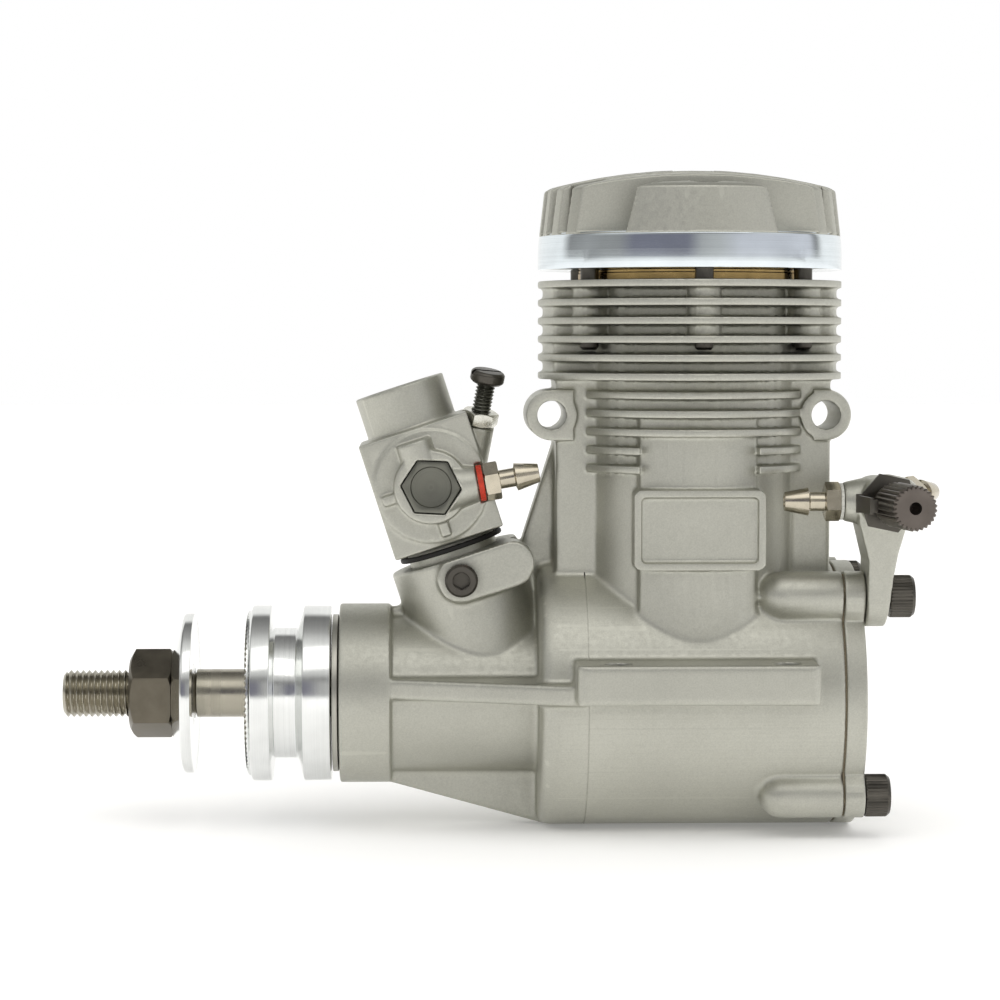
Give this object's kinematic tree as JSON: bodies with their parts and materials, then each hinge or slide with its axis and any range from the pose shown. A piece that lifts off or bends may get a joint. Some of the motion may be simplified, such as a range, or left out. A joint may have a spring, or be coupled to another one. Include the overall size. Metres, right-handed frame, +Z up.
{
  "type": "model glow engine",
  "caption": "Front-intake two-stroke model glow engine with finned cylinder, side exhaust, barrel carburettor, rear needle valve and threaded propeller shaft.",
  "frame": {"origin": "centre of the backplate's rear face, on the crankshaft axis", "axes": "+X along the crankshaft axis away from the propeller, +Y towards the exhaust, +Z up the cylinder towards the head"},
  "size_m": [0.1452, 0.068, 0.1086],
  "materials": {
    "cast_aluminium": "bead-blasted casting",
    "machined_aluminium": "fine turned",
    "steel": "ground",
    "black_steel": "black oxide",
    "brass": "turned",
    "nickel_plate": "bright nickel plate",
    "red_fibre": "matt fibre",
    "rubber": "matt black",
    "gasket_paper": "matt paper",
    "polymer": "pale satin"
  },
  "bodies": {
    "block": {"crankcase": "cast_aluminium", "backplate": "cast_aluminium", "cylinder_head": "cast_aluminium", "carburettor_body": "cast_aluminium", "needle_bracket": "cast_aluminium", "rear_bearing_outer_race": "steel", "front_bearing_outer_race": "steel", "glow_plug": "steel", "backplate_screw_1": "black_steel", "backplate_screw_2": "black_steel", "backplate_screw_3": "black_steel", "backplate_screw_4": "black_steel", "head_screw_1": "black_steel", "head_screw_2": "black_steel", "head_screw_3": "black_steel", "head_screw_4": "black_steel", "head_screw_5": "black_steel", "head_screw_6": "black_steel", "carburettor_clamp_screw": "black_steel", "carburettor_inlet_plug": "black_steel", "ratchet_spring": "black_steel", "cylinder_liner": "brass", "head_gasket": "brass", "glow_plug_washer": "brass", "needle_seat_bush": "brass", "carburettor_nipple": "nickel_plate", "inlet_nipple": "nickel_plate", "outlet_nipple": "nickel_plate", "idle_stop_nut": "nickel_plate", "nipple_washer": "red_fibre", "carburettor_gasket": "rubber", "backplate_gasket": "gasket_paper", "inlet_nipple_washer": "polymer", "outlet_nipple_washer": "polymer"},
    "crankshaft_group": {"crankshaft": "steel", "rear_bearing_inner_race": "steel", "front_bearing_inner_race": "steel", "drive_hub": "machined_aluminium", "taper_collet": "brass", "thrust_washer": "cast_aluminium", "prop_washer": "machined_aluminium", "prop_nut": "black_steel"},
    "rear_ball_set": {"rear_bearing_balls": "steel"},
    "front_ball_set": {"front_bearing_balls": "steel"},
    "piston_group": {"piston": "machined_aluminium", "wrist_pin": "steel", "front_pin_retainer": "polymer", "rear_pin_retainer": "polymer"},
    "rod_group": {"connecting_rod": "machined_aluminium", "small_end_bush": "brass", "big_end_bush": "brass", "crank_pin": "steel"},
    "throttle": {"throttle_barrel": "steel", "throttle_arm": "black_steel", "throttle_arm_nut": "brass"},
    "idle_mixture_screw": {"low_speed_needle": "brass"},
    "idle_stop": {"idle_stop_screw": "black_steel"},
    "fuel_needle": {"needle_valve": "black_steel"}
  },
  "joints": [
    {"name": "crank_spin", "type": "hinge", "parent": "block", "child": "crankshaft_group", "pos_m": [-0.027, 0, 0], "axis": [1, 0, 0], "continuous": true},
    {"name": "rear_ball_set_spin", "type": "hinge", "parent": "block", "child": "rear_ball_set", "pos_m": [-0.0471, 0, 0], "axis": [1, 0, 0], "continuous": true},
    {"name": "front_ball_set_spin", "type": "hinge", "parent": "block", "child": "front_ball_set", "pos_m": [-0.081, 0, 0], "axis": [1, 0, 0], "continuous": true},
    {"name": "piston_slide", "type": "slide", "parent": "block", "child": "piston_group", "axis": [0, 0, 1], "range_m": [0, 0.022]},
    {"name": "rod_swing", "type": "hinge", "parent": "piston_group", "child": "rod_group", "pos_m": [-0.027, 0, 0.032], "axis": [1, 0, 0], "range_deg": [-14.8, 14.8]},
    {"name": "throttle_turn", "type": "hinge", "parent": "block", "child": "throttle", "pos_m": [-0.07007, 0, 0.035], "axis": [0, 1, 0], "range_deg": [0, 85]},
    {"name": "idle_mixture_turn", "type": "hinge", "parent": "throttle", "child": "idle_mixture_screw", "pos_m": [-0.07007, 0, 0.035], "axis": [0, 1, 0], "range_deg": [-360, 360]},
    {"name": "idle_stop_turn", "type": "hinge", "parent": "block", "child": "idle_stop", "pos_m": [-0.0617, 0.001, 0.04675], "axis": [0.1783, -0.2079, 0.9618], "range_deg": [-360, 360]},
    {"name": "needle_turn", "type": "hinge", "parent": "block", "child": "fuel_needle", "pos_m": [0.0023, -0.018, 0.0329], "axis": [-0.1132, 0.9936, 0], "range_deg": [-720, 360]}
  ],
  "couplings": [
    {"joint": "rear_ball_set_spin", "follows": "crank_spin", "ratio": 0.414},
    {"joint": "front_ball_set_spin", "follows": "crank_spin", "ratio": 0.393}
  ]
}
